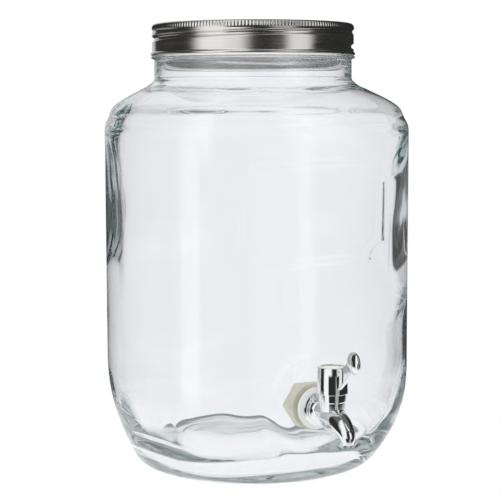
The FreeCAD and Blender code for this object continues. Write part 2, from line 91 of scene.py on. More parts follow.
# Meshes
def finish_piece(name, bm, body, node, material, sharp=38.0, recalc=True):
    """Turn a bmesh in millimetres into a piece that stands for a CAD node and rides on its body."""
    column = bm.verts.layers.int.get("column")
    if column:
        bm.verts.layers.int.remove(column)
    bmesh.ops.remove_doubles(bm, verts=bm.verts, dist=MERGE_GAP)
    if recalc:
        bmesh.ops.recalc_face_normals(bm, faces=bm.faces)
    bmesh.ops.scale(bm, vec=(MM, MM, MM), verts=bm.verts)
    for face in bm.faces:
        face.smooth = True
    for edge in bm.edges:
        edge.smooth = edge.calc_face_angle(0.0) < math.radians(sharp)
    mesh = bpy.data.meshes.new(name)
    bm.to_mesh(mesh)
    bm.free()
    piece = bpy.data.objects.new(name, mesh)
    bpy.context.scene.collection.objects.link(piece)
    mesh.materials.append(material)
    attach(piece, body)
    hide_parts(node)


def spin_profile(bm, profile, about_y=False):
    """Revolve pairs of radius and height about the Z axis, or about the Y axis."""
    points = [(radius, height, 0) if about_y else (radius, 0, height) for radius, height in profile]
    verts = [bm.verts.new(point) for point in points]
    edges = [bm.edges.new(pair) for pair in zip(verts, verts[1:])]
    bmesh.ops.spin(bm, geom=verts + edges, cent=ORIGIN, axis=(0, 1, 0) if about_y else UP, dvec=ORIGIN,
                   angle=math.tau, steps=ROUND_STEPS, use_merge=True)


def skin_rings(bm, rings):
    """Skin a run of rings with the same count of points; returns the end rings' vertices and edges."""
    column = bm.verts.layers.int.new("column")
    verts = bmesh.ops.create_circle(bm, segments=len(rings[0]), radius=1.0)["verts"]
    for index, vert in enumerate(verts):
        vert[column] = index
    edges = list({edge for vert in verts for edge in vert.link_edges})
    first = (verts, edges)
    for index, ring in enumerate(rings):
        if index:
            made = bmesh.ops.extrude_edge_only(bm, edges=edges)["geom"]
            verts = [item for item in made if isinstance(item, bmesh.types.BMVert)]
            ends = set(verts)
            edges = [item for item in made if isinstance(item, bmesh.types.BMEdge)
                     and all(vert in ends for vert in item.verts)]
        for vert in verts:
            vert.co = ring[vert[column]]
    return first, (verts, edges)


def close_shells(bm):
    """Merge the seams of a bmesh and turn its faces outward."""
    bmesh.ops.remove_doubles(bm, verts=bm.verts, dist=MERGE_GAP)
    bmesh.ops.recalc_face_normals(bm, faces=bm.faces)


def round_edges(bm, offset, segments, angle=40.0):
    """Bevel every edge that is sharper than an angle."""
    edges = [edge for edge in bm.edges if edge.calc_face_angle(0.0) > math.radians(angle)]
    bmesh.ops.bevel(bm, geom=edges, offset=offset, offset_type="OFFSET", segments=segments,
                    profile=0.5, affect="EDGES", material=-1, clamp_overlap=True)


def absorb(bm, other):
    """Move the shells of another bmesh into this one."""
    mesh = bpy.data.meshes.new("shells")
    other.to_mesh(mesh)
    other.free()
    bm.from_mesh(mesh)
    bpy.data.meshes.remove(mesh)


# Shader nodes
def set_or_link(tree, value, socket):
    """Give a socket a number, or link it to another socket."""
    if isinstance(value, (int, float)):
        socket.default_value = value
    else:
        tree.links.new(value, socket)


def add_math(tree, operation, *values):
    """Run numbers and sockets together by one operation, from left to right."""
    result = values[0]
    for value in values[1:]:
        node = tree.nodes.new("ShaderNodeMath")
        node.operation = operation
        set_or_link(tree, result, node.inputs[0])
        set_or_link(tree, value, node.inputs[1])
        result = node.outputs[0]
    return result


def add_vector_math(tree, operation, vector, second=None):
    node = tree.nodes.new("ShaderNodeVectorMath")
    node.operation = operation
    tree.links.new(vector, node.inputs[0])
    if second:
        node.inputs[1].default_value = second
    return node.outputs


def add_blend(tree, factor, low, high):
    mix = tree.nodes.new("ShaderNodeMix")
    mix.data_type = "FLOAT"
    for index, value in ((0, factor), (2, low), (3, high)):
        set_or_link(tree, value, mix.inputs[index])
    return mix.outputs[0]


def add_range(tree, value, start, end, low, high, smooth=False):
    """Map a socket's values from start to end onto low to high."""
    remap = tree.nodes.new("ShaderNodeMapRange")
    if smooth:
        remap.interpolation_type = "SMOOTHSTEP"
    for name, number in (("From Min", start), ("From Max", end), ("To Min", low), ("To Max", high)):
        remap.inputs[name].default_value = number
    tree.links.new(value, remap.inputs["Value"])
    return remap.outputs["Result"]


# Finishes
NOISE_LOW, NOISE_HIGH = 0.3, 0.7


def principled(name):
    material = bpy.data.materials.new(name)
    material.use_nodes = True
    return material, material.node_tree, material.node_tree.nodes["Principled BSDF"].inputs


def add_noise(tree, scale, detail, stretch):
    """Noise on the piece's own coordinates, in patterns per metre."""
    coords = tree.nodes.new("ShaderNodeTexCoord")
    mapping = tree.nodes.new("ShaderNodeMapping")
    mapping.inputs["Scale"].default_value = stretch
    texture = tree.nodes.new("ShaderNodeTexNoise")
    texture.inputs["Scale"].default_value = scale
    texture.inputs["Detail"].default_value = detail
    tree.links.new(coords.outputs["Object"], mapping.inputs["Vector"])
    tree.links.new(mapping.outputs["Vector"], texture.inputs["Vector"])
    return texture.outputs["Fac"]


def add_ramp(tree, factor, low, high):
    """Colour between two stops, driven by a noise."""
    ramp = tree.nodes.new("ShaderNodeValToRGB")
    for element, colour, place in zip(ramp.color_ramp.elements, (low, high), (NOISE_LOW, NOISE_HIGH)):
        element.color = (*colour, 1)
        element.position = place
    tree.links.new(factor, ramp.inputs["Fac"])
    return ramp.outputs["Color"]


def add_bump(tree, inputs, height, strength, distance):
    bump = tree.nodes.new("ShaderNodeBump")
    bump.inputs["Strength"].default_value = strength
    bump.inputs["Distance"].default_value = distance
    tree.links.new(height, bump.inputs["Height"])
    tree.links.new(bump.outputs["Normal"], inputs["Normal"])


def make_clear_glass():
    """Glass with faint ripples and a green tint that grows with its thickness."""
    material, tree, inputs = principled("clear_glass")
    for name, value in (("Base Color", (0.967, 0.972, 0.99, 1)), ("Roughness", 0.0), ("IOR", 1.5),
                        ("Transmission Weight", 1.0)):
        inputs[name].default_value = value
    ripple = add_noise(tree, scale=28.0, detail=2.0, stretch=(1.0, 1.0, 0.6))
    add_bump(tree, inputs, ripple, strength=0.06, distance=0.002)
    tint = tree.nodes.new("ShaderNodeVolumeAbsorption")
    tint.inputs["Color"].default_value = (0.61, 0.70, 0.70, 1)
    tint.inputs["Density"].default_value = 6.0
    tree.links.new(tint.outputs["Volume"], tree.nodes["Material Output"].inputs["Volume"])
    return material


def make_finish(name, scale, detail, colours, roughness, bump=None, stretch=(1, 1, 1), settings=()):
    """Finish whose colour, roughness and bump (strength and distance) follow one noise."""
    material, tree, inputs = principled(name)
    pattern = add_noise(tree, scale, detail, stretch)
    tree.links.new(add_ramp(tree, pattern, *colours), inputs["Base Color"])
    tree.links.new(add_range(tree, pattern, NOISE_LOW, NOISE_HIGH, *roughness), inputs["Roughness"])
    for socket, value in settings:
        inputs[socket].default_value = value
    if bump:
        add_bump(tree, inputs, pattern, *bump)
    return material


clear_glass = make_clear_glass()
lid_metal = make_finish(
    "lid_metal", 60.0, 4.0, ((0.70, 0.685, 0.655), (0.77, 0.755, 0.725)), (0.16, 0.22), bump=(0.03, 0.0003),
    stretch=(0.25, 0.25, 22.0), settings=[("Metallic", 1.0)])
tap_chrome = make_finish(
    "tap_chrome", 180.0, 3.0, ((0.80, 0.81, 0.82), (0.86, 0.865, 0.87)), (0.02, 0.05),
    settings=[("Metallic", 1.0)])
cream_plastic = make_finish(
    "cream_plastic", 90.0, 4.0, ((0.79, 0.77, 0.67), (0.86, 0.845, 0.75)), (0.35, 0.5), bump=(0.08, 0.0005),
    settings=[("Subsurface Weight", 0.25), ("Subsurface Radius", (0.003, 0.0025, 0.0015))])
milky_plastic = make_finish(
    "milky_plastic", 70.0, 4.0, ((0.60, 0.58, 0.455), (0.65, 0.63, 0.51)), (0.4, 0.55), bump=(0.08, 0.0005))
soft_washer = make_finish(
    "soft_washer", 150.0, 3.0, ((0.80, 0.805, 0.79), (0.87, 0.875, 0.86)), (0.4, 0.52), bump=(0.05, 0.0004),
    settings=[("IOR", 1.4), ("Transmission Weight", 0.15)])
seal_rubber = make_finish(
    "seal_rubber", 220.0, 3.0, ((0.76, 0.75, 0.71), (0.84, 0.83, 0.80)), (0.55, 0.7), bump=(0.1, 0.0003))
ring_rubber = make_finish(
    "ring_rubber", 400.0, 3.0, ((0.02, 0.02, 0.02), (0.035, 0.035, 0.034)), (0.45, 0.6), bump=(0.1, 0.0002))


# Glass jar
WALL = 5.0
SIDE_ANGLE = math.radians(20)
HOLLOW_RADIUS, HOLLOW_DEPTH, STAND_RADIUS = 71.0, 5.0, 74.0
FOOT_RADIUS, FOOT_ROUND = 82.0, 5.0
HEEL_TOP, HEEL_POWER = 76.0, 2.4
# Half width and corner radius of the body
OUTSIDE, INSIDE = (100.0, 42.0), (95.0, 37.0)
OUTER_SHOULDER, INNER_SHOULDER, SHOULDER_RISE = 235.0, 231.0, 38.0
# Curve of the shoulder: power, depth, middle and width of its dip, and where it becomes round
SHOULDER_POWER, DIP_DEPTH, DIP_MIDDLE, DIP_WIDTH, ROUND_FROM = 1.6, 0.052, 0.27, 0.13, 0.8
NECK_RADIUS, THROAT_RADIUS = 69.3, 65.2
THREAD_BED, THREAD_HEIGHT = 68.3, 1.8
RIM_LEVEL, RIM_ROUND = 305.7, 1.5
BOTTOM_LEVEL, BOTTOM_RADIUS, BOTTOM_CURVE_TOP = 9.0, 60.0, 79.0
TAP_HOLE = 8.4
# Radius of the flat seat around the tap, and how far it fades out, outside and inside
SEAT_TOP, OUTER_SEAT, INNER_SEAT = 90, (15.5, 38.0), (16.0, 40.0)
# Height and size of the ripples in the glass
OUTER_RIPPLE, INNER_RIPPLE, FINE_RIPPLE = (0.10, 38.0), (0.9, 52.0), (0.35, 23.0)
THROAT_RIPPLE, FLOOR_RIPPLE, FLOOR_SWIRL = (1.2, 17.0), (0.5, 30.0), (6.0, 40.0)
FINE_SHIFT = Vector((7, 3, 1))
# Level above which the outside is calm, levels between which the inside becomes calm
OUTER_CALM, INNER_CALM = 284, (246, 266)
# Thicker glass in the throat
THROAT_LEVEL, THROAT_SPREAD, THROAT_SWELL = 262.5, 2.6, 1.5
# Mould rings in the floor: height, and phase in radians per millimetre
FLOOR_RING_HEIGHT, FLOOR_RING_RATE = 0.22, 1.05
# Radius and level of the ring around the neck
NECK_BEAD = ((69.3, 276), (69.3, 279), (69.3, 282), (69.3, 284.4), (69.6, 284.9), (70.6, 285.2),
             (71.4, 285.6), (71.7, 286.1), (71.6, 286.7), (71.0, 287.1), (69.8, 287.35), (68.6, 287.4),
             (68.3, 287.7))
# First and last direction and count of the mesh columns, closest together on the front face
COLUMNS = ((-110, -70, 100), (-70, -20, 24), (-20, 20, 20), (20, 70, 22),
           (70, 110, 20), (110, 160, 24), (160, 200, 20), (200, 250, 22))
# Middle, half size and scooped corners of the plaque; inset, flat, foot and height of its two lines
PLAQUE_LEVEL, PLAQUE_HALF_WIDTH, PLAQUE_HALF_HEIGHT, PLAQUE_SCOOP = 183, 54.0, 34.0, 12.0
PLAQUE_LINES = ((0.0, 0.2, 1.7, 0.9), (4.2, 0.1, 1.2, 0.45))
# Level and thickness of the glass in two corners: uneven, as the wall of a blown jar is
LEFT_CORNER = ((20, 5.0), (45, 3.0), (130, 2.5), (170, 13.0), (205, 10.6), (233, 8.5), (262, 5.0))
RIGHT_CORNER = ((20, 5.0), (45, 3.0), (112, 2.5), (148, 9.5), (208, 7.4), (230, 3.2), (262, 5.0))
# Direction of each corner and the slant of its thickness, in millimetres per degree
CORNERS = ((135, 0.0, LEFT_CORNER), (-45, -0.3, RIGHT_CORNER))


def wall_point(half_width, corner, turn):
    """Point of the rounded square whose outward normal points along turn."""
    side = (half_width - corner) / (1 - math.cos(SIDE_ANGLE) + math.sin(SIDE_ANGLE)) + corner
    centre = (side - corner) * math.sin(SIDE_ANGLE)
    quarter = round(turn / (math.pi / 2))
    local = turn - quarter * math.pi / 2
    if abs(local) <= SIDE_ANGLE:
        point = Vector((half_width - side + side * math.cos(local), side * math.sin(local), 0))
    else:
        point = Vector((centre + corner * math.cos(local),
                        math.copysign(centre, local) + corner * math.sin(local), 0))
    return Matrix.Rotation(quarter * math.pi / 2, 3, "Z") @ point


def heel(level):
    """Half width and corner radius of the outside between foot and body."""
    share = 1 - (1 - level / HEEL_TOP) ** HEEL_POWER
    lift = max(0.0, 1 - level / FOOT_ROUND)
    inset = FOOT_ROUND * (1 - math.sqrt(1 - lift * lift))
    return [FOOT_RADIUS + (size - FOOT_RADIUS) * share - inset for size in OUTSIDE]


def shoulder(along, wide, corner, neck):
    """Half width and corner radius at a share of the way from body to neck."""
    share = (1 + math.cos(math.pi * along ** SHOULDER_POWER)) / 2
    share *= 1 - DIP_DEPTH * math.exp(-((along - DIP_MIDDLE) / DIP_WIDTH) ** 2)
    base = neck - 0.5
    half_width = max(neck, base + (wide - base) * share)
    corner = base + (corner - base) * share
    if along > ROUND_FROM:
        corner = max(corner, min(neck, half_width))
    return half_width, corner


def jar_rings():
    """Rings of the glass wall: middle of the hollow foot, outside, rim, inside, middle of the floor."""
    rings = []

    def ring(half_width, corner, level, face):
        rings.append((half_width, corner, level, face))

    def round_ring(radius, level, face):
        ring(radius, radius, level, face)

    for radius in span(HOLLOW_RADIUS / 10, HOLLOW_RADIUS, 9):
        round_ring(radius, HOLLOW_DEPTH * (1 - (radius / HOLLOW_RADIUS) ** 2), "under")
    round_ring(STAND_RADIUS, 0.0, "under")
    foot_levels = [FOOT_ROUND * (1 - math.cos(math.radians(11.25 * step))) for step in range(8)]
    for level in foot_levels + span(FOOT_ROUND, HEEL_TOP, 26):
        ring(*heel(level), level, "outer")
    for start, end, count in ((HEEL_TOP, 144, 16), (144, 222, 72), (222, OUTER_SHOULDER, 4)):
        for level in span(start, end, count)[1:]:
            ring(*OUTSIDE, level, "outer")
    for along in span(0, 1, 26)[1:]:
        ring(*shoulder(along, *OUTSIDE, NECK_RADIUS), OUTER_SHOULDER + SHOULDER_RISE * along, "outer")
    for radius, level in NECK_BEAD:
        round_ring(radius, level, "outer")
    for level in span(288.4, 305.2, 24):
        round_ring(THREAD_BED, level, "outer")
    for centre, start, end in ((66.8, 0, 90), (65.0, 90, 180)):
        for turn in span(start, end, 5):
            reach, rise = polar(RIM_ROUND, math.radians(turn))
            round_ring(centre + reach, RIM_LEVEL + rise, "rim")
    for level in span(302, 270, 16):
        round_ring(63.2 + 2.0 * smoothstep(290, 272, level), level, "inner")
    for along in reversed(span(0, 1, 36)):
        ring(*shoulder(along, *INSIDE, THROAT_RADIUS), INNER_SHOULDER + SHOULDER_RISE * along, "inner")
    for level in span(INNER_SHOULDER, BOTTOM_CURVE_TOP, 56)[1:]:
        ring(*INSIDE, level, "inner")
    for turn in span(90, 0, 22)[1:]:
        drop, share = polar(1.0, math.radians(turn))
        half_width, corner = (BOTTOM_RADIUS + (size - BOTTOM_RADIUS) * share for size in INSIDE)
        ring(half_width, corner, BOTTOM_CURVE_TOP - (BOTTOM_CURVE_TOP - BOTTOM_LEVEL) * drop, "inner")
    for radius in span(57.5, 2.5, 22):
        round_ring(radius, BOTTOM_LEVEL, "floor")
    return rings


def plaque_relief(across, up):
    """Height of the raised border of a plaque with scooped corners, centred on the front face."""
    x, y = abs(across) - PLAQUE_HALF_WIDTH, abs(up) - PLAQUE_HALF_HEIGHT
    box = math.hypot(max(x, 0), max(y, 0)) + min(max(x, y), 0)
    edge = max(box, PLAQUE_SCOOP - math.hypot(x, y))
    return sum(height * (1 - smoothstep(flat, foot, abs(edge + inset)))
               for inset, flat, foot, height in PLAQUE_LINES)


def thread_relief(angle, level):
    """Height of the jar's screw thread."""
    return THREAD_HEIGHT * helix(angle, level, start=296.0, lead_in=0.04, run_out=(0.76, 0.8),
                                 flank=(0.6, 1.5))


def corner_swell(turn, level):
    """Extra thickness of the glass in the left and right corners."""
    swell = 0.0
    for corner, slant, table in CORNERS:
        off_corner = (math.degrees(turn) - corner + 180) % 360 - 180
        if abs(off_corner) > 45:
            continue
        place = level + slant * off_corner
        for (low, first), (high, second) in zip(table, table[1:]):
            if low <= place < high:
                thickness = first + (second - first) * smoothstep(low, high, place)
                swell += (thickness - WALL) * (1 - smoothstep(22, 45, abs(off_corner)))
    return swell


def flatten_seat(point, seat_face, flat, reach):
    """Draw a point near the tap towards the flat face of its seat."""
    if point.y < 0 and point.z < SEAT_TOP:
        share = 1 - gentle_step(flat, reach, math.hypot(point.x, point.z - TAP.z))
        point.y += (seat_face - point.y) * share


def ripple(point, height, size, shift=Vector(ORIGIN)):
    return height * noise.noise(point / size + shift)


def shaped(point, turn, face):
    """A point of the wall with its seat, relief and ripple."""
    outward = Vector((*polar(1.0, turn), 0))
    if face == "outer":
        if point.z <= OUTER_CALM:
            point = point + outward * ripple(point, *OUTER_RIPPLE)
        if point.y < 0 and 130 < point.z < 240:
            point = point + outward * plaque_relief(point.x, point.z - PLAQUE_LEVEL)
        if 288 < point.z < 305.6:
            point = point + outward * thread_relief(math.atan2(point.y, point.x), point.z)
        flatten_seat(point, PAD_FACE, *OUTER_SEAT)
    elif face == "inner":
        wave = ripple(point, *INNER_RIPPLE) + ripple(point, *FINE_RIPPLE, FINE_SHIFT)
        calm = 1 - smoothstep(*INNER_CALM, point.z)
        in_throat = math.exp(-((point.z - THROAT_LEVEL) / THROAT_SPREAD) ** 2)
        throat = in_throat * (THROAT_SWELL + ripple(point, *THROAT_RIPPLE))
        point = point + outward * (wave * calm - throat - corner_swell(turn, point.z))
        flatten_seat(point, SPOT_FACE, *INNER_SEAT)
    elif face == "floor":
        radius = point.xy.length
        swirl = ripple(point, *FLOOR_SWIRL)
        edge = smoothstep(36, 52, radius) * (1 - smoothstep(55, 60, radius))
        mould = FLOOR_RING_HEIGHT * edge * math.sin((radius + swirl) * FLOOR_RING_RATE)
        point.z += mould + ripple(point, *FLOOR_RIPPLE)
    return point


def cut_tap_hole(bm):
    """Open the seat of the tap and join its two faces by the wall of the hole."""
    def off_axis(place):
        return math.hypot(place.x, place.z - TAP.z)

    def in_hole(place):
        return place.y < -80 and off_axis(place) < TAP_HOLE

    inside = [face for face in bm.faces if in_hole(face.calc_center_median())]
    bmesh.ops.delete(bm, geom=inside, context="FACES")
    rims = [edge for edge in bm.edges if edge.is_boundary]
    for vert in {vert for edge in rims for vert in edge.verts}:
        share = TAP_HOLE / off_axis(vert.co)
        vert.co.x *= share
        vert.co.z = TAP.z + (vert.co.z - TAP.z) * share
    bmesh.ops.bridge_loops(bm, edges=rims)


def make_jar():
    turns = [math.radians(start + (end - start) * step / count)
             for start, end, count in COLUMNS for step in range(count)]
    rings = []
    for half_width, corner, level, face in jar_rings():
        places = [wall_point(half_width, corner, turn) for turn in turns]
        rings.append([shaped(Vector((place.x, place.y, level)), turn, face)
                      for place, turn in zip(places, turns)])
    bm = bmesh.new()
    (under, _), (floor, _) = skin_rings(bm, rings)
    bmesh.ops.pointmerge(bm, verts=under, merge_co=(0, 0, HOLLOW_DEPTH))
    bmesh.ops.pointmerge(bm, verts=floor, merge_co=(0, 0, sum(vert.co.z for vert in floor) / len(floor)))
    cut_tap_hole(bm)
    finish_piece("glass_jar_wall", bm, "jar", "glass_jar", clear_glass, sharp=50.0)


# Lid and flat rings
KNURLS, STEPS_PER_KNURL, SECTORS, KNURL_DEPTH = 192, 4, 16, 0.5
GROOVE_DEPTH = 1.7
# Plain inside this radius; levels of the groove; radius and level beyond which a point is on the outside
PLAIN_TOP_RADIUS, GROOVE_LEVELS = 66, (289.5, 305.2)
SKIN_RADIUS, SKIN_LEVEL = 70.45, 308.95
# Radius and level along the lid's section, from the middle of its top to the middle of its underside
LID_TOP = [(0, 308.2), (20, 308.2), (40, 308.2), (57, 308.2), (59.2, 308.25), (59.9, 308.6), (60.3, 309.0),
           (61.0, 309.35), (62, 309.4), (65, 309.4), (67.4, 309.4)]
LID_STEP = [(71.0, 306.3), (71.0, 305.8), (70.9, 305.3), (70.65, 304.9), (70.5, 304.5)]
LID_HEM = [(70.9, 289.8), (71.2, 289.5), (71.6, 289.2), (71.8, 288.7), (71.75, 288.2), (71.5, 287.8),
           (71.1, 287.6), (70.7, 287.65), (70.35, 288.0)]
LID_UNDERSIDE = [(70.1, 305.2), (70.3, 306.4), (69.9, 307.6), (69.1, 308.5), (68, 308.9), (64, 308.9),
                 (61, 308.88), (60.2, 308.5), (59.6, 307.9), (59, 307.7), (40, 307.7), (20, 307.7),
                 (0, 307.7)]


def groove_depth(angle, level):
    """Depth of the rolled thread groove in the lid's skirt."""
    return GROOVE_DEPTH * helix(angle, level, start=292.0, lead_in=0.10, run_out=(1.1, 1.2),
                                flank=(0.5, 2.2))


def lid_profile():
    """Half section of the lid, from the middle of its top over the skirt and back inside."""
    arcs = [polar(2.8, math.radians(turn)) for turn in (80, 68, 56, 44, 32, 20, 8)]
    edge = [(68.2 + reach, 306.6 + rise) for reach, rise in arcs]
    levels = [304.5 - 0.42 * step for step in range(1, 35)]
    skirt = [(70.5 + 0.3 * smoothstep(304, 302, level), level) for level in levels]
    inside = [(70.3, 288.8 + 0.9 * step) for step in range(18)]
    return LID_TOP + edge + LID_STEP + skirt + LID_HEM + inside + LID_UNDERSIDE


def make_lid():
    bm = bmesh.new()
    verts = [bm.verts.new((radius, 0, level)) for radius, level in lid_profile()]
    edges = [bm.edges.new(pair) for pair in zip(verts, verts[1:])]
    bmesh.ops.spin(bm, geom=verts + edges, cent=ORIGIN, axis=UP, dvec=ORIGIN,
                   angle=math.tau / SECTORS, steps=KNURLS * STEPS_PER_KNURL // SECTORS)
    bmesh.ops.spin(bm, geom=bm.verts[:] + bm.edges[:] + bm.faces[:], cent=ORIGIN, axis=UP, dvec=ORIGIN,
                   angle=math.tau * (SECTORS - 1) / SECTORS, steps=SECTORS - 1, use_duplicate=True)
    bmesh.ops.remove_doubles(bm, verts=bm.verts, dist=1e-3)
    for vert in bm.verts:
        radius = vert.co.xy.length
        if radius < PLAIN_TOP_RADIUS:
            continue
        angle = math.atan2(vert.co.y, vert.co.x)
        level = vert.co.z
        cut = groove_depth(angle, level) if GROOVE_LEVELS[0] < level < GROOVE_LEVELS[1] else 0.0
        if radius > SKIN_RADIUS or level > SKIN_LEVEL:
            knurl = smoothstep(305.0, 305.9, level) * (1 - smoothstep(309.1, 309.4, level))
            cut += KNURL_DEPTH * knurl * (0.5 + 0.5 * math.cos(KNURLS * angle))
        vert.co.xy *= (radius - cut) / radius
    finish_piece("lid_cap", bm, "lid", "lid_shell", lid_metal, sharp=60.0)


def make_ring(name, node, body, material, inner, outer, thickness, rounding, place, along):
    """Flat ring with rounded edges, from a face along an axis."""
    bm = bmesh.new()
    spin_profile(bm, ((inner, 0), (outer, 0), (outer, thickness), (inner, thickness), (inner, 0)))
    close_shells(bm)
    round_edges(bm, rounding, 4)
    tilt = Vector(UP).rotation_difference(Vector(along)).to_matrix()
    bmesh.ops.rotate(bm, cent=ORIGIN, matrix=tilt, verts=bm.verts)
    bmesh.ops.translate(bm, vec=place, verts=bm.verts)
    finish_piece(name, bm, body, node, material)


# Tap
WASHER_GAP = 0.06
INNER_WASHER_ROOM = 2.5
NUT_FLAT, NUT_CORNER, NUT_BORE, NUT_LIP, NUT_HEIGHT = 14.29, 16.4, 7.9, 8.4, 8.0
NUT_STEPS, NUT_ROUNDNESS = 120, 30
# Inset and level of the nut's sides and chamfers
NUT_SIDES = ((1.3, 0.0), (0.4, 0.25), (0.0, 1.0), (0.0, 4.0), (0.0, 7.0), (0.4, 7.75), (1.3, 8.0))
SPOUT_ROOT, SPOUT_TIP, SPOUT_LEVEL, SPOUT_STEPS = 8.5, 3.8, -2.5, 72
# Radius, first and last slope of the spout's two bends, and the straight end after them
SPOUT_KNEE = math.radians(34)
SPOUT_BENDS = ((33.0, 0.0, SPOUT_KNEE), (7.0, SPOUT_KNEE, math.pi / 2))
SPOUT_END = 0.8
# Radius and drop of the outlet's lip and bore
SPOUT_LIP = ((3.7, 0.25), (3.5, 0.4), (3.25, 0.4), (3.05, 0.25), (3.0, -0.1), (3.0, -4.0), (2.9, -9.0))
# Radius and place along the axis of the turned parts
TAIL = ((0, 0), (5.6, 0), (5.6, 12.6), (5.8, 13.5), (6.6, 14.6), (7.6, 15.2), (8.6, 15.5), (8.6, 16.5),
        (9.0, 16.6), (9.6, 16.7), (9.6, 17.6), (10.9, 17.9), (11.2, 18.2), (11.2, 20.1), (7.8, 20.1),
        (7.8, 44.0), (7.3, 44.5), (4.0, 44.5), (4.0, 24.0), (0, 24.0))
COLLAR = ((0, 3.0), (8.5, 3.0), (8.5, 8.6), (8.9, 8.9), (8.9, 17.2), (8.6, 17.5), (6.2, 17.5), (6.2, 6.0),
          (0, 6.0))
SLEEVE = ((9.15, 13.9), (10.15, 13.9), (9.6, 31.4), (7.3, 31.4), (7.3, 19.6), (9.15, 19.6), (9.15, 13.9))
# Reach and level of the arm's corners
ARM_OUTLINE = ((8.6, 16.65), (26.4, 30.05), (30.7, 33.9), (28.6, 38.2), (23.6, 38.25), (8.6, 27.05))
ARM_THICKNESS = 3.3
PADDLE_SIZE, PADDLE_PLACE = (7.2, 7.2, 3.0), (0, -28.6, 38.2)


def make_nut():
    """Six-sided nut with rounded corners and chamfered ends."""
    turns = [math.radians(360 // NUT_STEPS * step) for step in range(NUT_STEPS)]

    def outline(inset):
        radii = []
        for turn in turns:
            off_flat = turn % (math.pi / 3) - math.pi / 6
            flat = NUT_FLAT / math.cos(off_flat)
            blend = flat ** -NUT_ROUNDNESS + NUT_CORNER ** -NUT_ROUNDNESS
            radii.append(blend ** (-1 / NUT_ROUNDNESS) - inset)
        return radii

    def ring(radii, level):
        return [Vector((*polar(radius, turn), level)) for radius, turn in zip(radii, turns)]

    bore, lip = [NUT_BORE] * NUT_STEPS, [NUT_LIP] * NUT_STEPS
    sides = [ring(outline(inset), level) for inset, level in NUT_SIDES]
    rings = [ring(bore, 0.5), ring(lip, 0.0), *sides, ring(lip, NUT_HEIGHT), ring(bore, NUT_HEIGHT - 0.5)]
    bm = bmesh.new()
    (_, near), (_, far) = skin_rings(bm, rings)
    bmesh.ops.bridge_loops(bm, edges=near + far)
    bmesh.ops.rotate(bm, cent=ORIGIN, matrix=Matrix.Rotation(math.radians(90), 3, "X"), verts=bm.verts)
    bmesh.ops.translate(bm, vec=(0, SPOT_FACE + INNER_WASHER_ROOM + NUT_HEIGHT, TAP.z), verts=bm.verts)
    finish_piece("tap_nut", bm, "jar", "tap_lock_nut", milky_plastic)


def spout_path(stations):
    """Places along the spout: forward reach, height, slope and share of its length."""
    lengths = [radius * (end - begin) for radius, begin, end in SPOUT_BENDS]
    total = sum(lengths) + SPOUT_END
    path = []
    for index in range(stations + 1):
        run = total * index / stations
        reach, level, slope = 0.0, SPOUT_LEVEL, 0.0
        for (radius, begin, end), length in zip(SPOUT_BENDS, lengths):
            slope = begin + (end - begin) * part_way(0.0, length, run)
            reach += radius * (math.sin(slope) - math.sin(begin))
            level += radius * (math.cos(slope) - math.cos(begin))
            run -= length
            if run <= 0:
                break
        path.append((reach, level - max(0.0, run), slope, index / stations))
    return path


def make_spout():
    """Closed sweep from a ball at the spout's root to the bore of its outlet."""
    stations = []
    for turn in (-82, -65, -45, -22):
        radius, reach = polar(SPOUT_ROOT, math.radians(turn))
        stations.append((reach, SPOUT_LEVEL, 0.0, radius))
    for reach, level, slope, share in spout_path(40):
        stations.append((reach, level, slope, SPOUT_ROOT + (SPOUT_TIP - SPOUT_ROOT) * share ** 1.7))
    tip_reach, tip_level = stations[-1][:2]
    for radius, drop in SPOUT_LIP:
        stations.append((tip_reach, tip_level - drop, math.pi / 2, radius))
    rings = []
    for reach, level, slope, radius in stations:
        centre, tilt = Vector((0, -reach, level)), Matrix.Rotation(math.pi / 2 + slope, 3, "X")
        rings.append([centre + tilt @ Vector((*polar(radius, math.tau * step / SPOUT_STEPS), 0))
                      for step in range(SPOUT_STEPS)])
    bm = bmesh.new()
    (ball, _), (outlet, _) = skin_rings(bm, rings)
    bmesh.ops.contextual_create(bm, geom=outlet)
    bmesh.ops.pointmerge(bm, verts=ball, merge_co=(0, SPOUT_ROOT, SPOUT_LEVEL))
    bmesh.ops.recalc_face_normals(bm, faces=bm.faces)
    return bm


def make_tap_body():
    bm = bmesh.new()
    spin_profile(bm, TAIL, about_y=True)
    spin_profile(bm, COLLAR)
    close_shells(bm)
    round_edges(bm, 0.25, 3, 50.0)
    absorb(bm, make_spout())
    bmesh.ops.translate(bm, vec=TAP, verts=bm.verts)
    finish_piece("tap_casting", bm, "jar", "tap_body", tap_chrome, recalc=False)


def make_arm():
    """Flat arm with a round paddle at its end."""
    bm = bmesh.new()
    side = bm.faces.new([bm.verts.new((-ARM_THICKNESS / 2, -reach, level)) for reach, level in ARM_OUTLINE])
    made = bmesh.ops.extrude_face_region(bm, geom=[side])["geom"]
    far_side = [item for item in made if isinstance(item, bmesh.types.BMVert)]
    bmesh.ops.translate(bm, vec=(ARM_THICKNESS, 0, 0), verts=far_side)
    bmesh.ops.recalc_face_normals(bm, faces=bm.faces)
    round_edges(bm, 0.5, 4, 60.0)
    paddle = bmesh.ops.create_uvsphere(bm, u_segments=64, v_segments=32, radius=1.0)["verts"]
    bmesh.ops.scale(bm, vec=PADDLE_SIZE, verts=paddle)
    bmesh.ops.rotate(bm, cent=ORIGIN, matrix=Matrix.Rotation(math.pi / 2, 3, "Y"), verts=paddle)
    bmesh.ops.translate(bm, vec=PADDLE_PLACE, verts=paddle)
    return bm


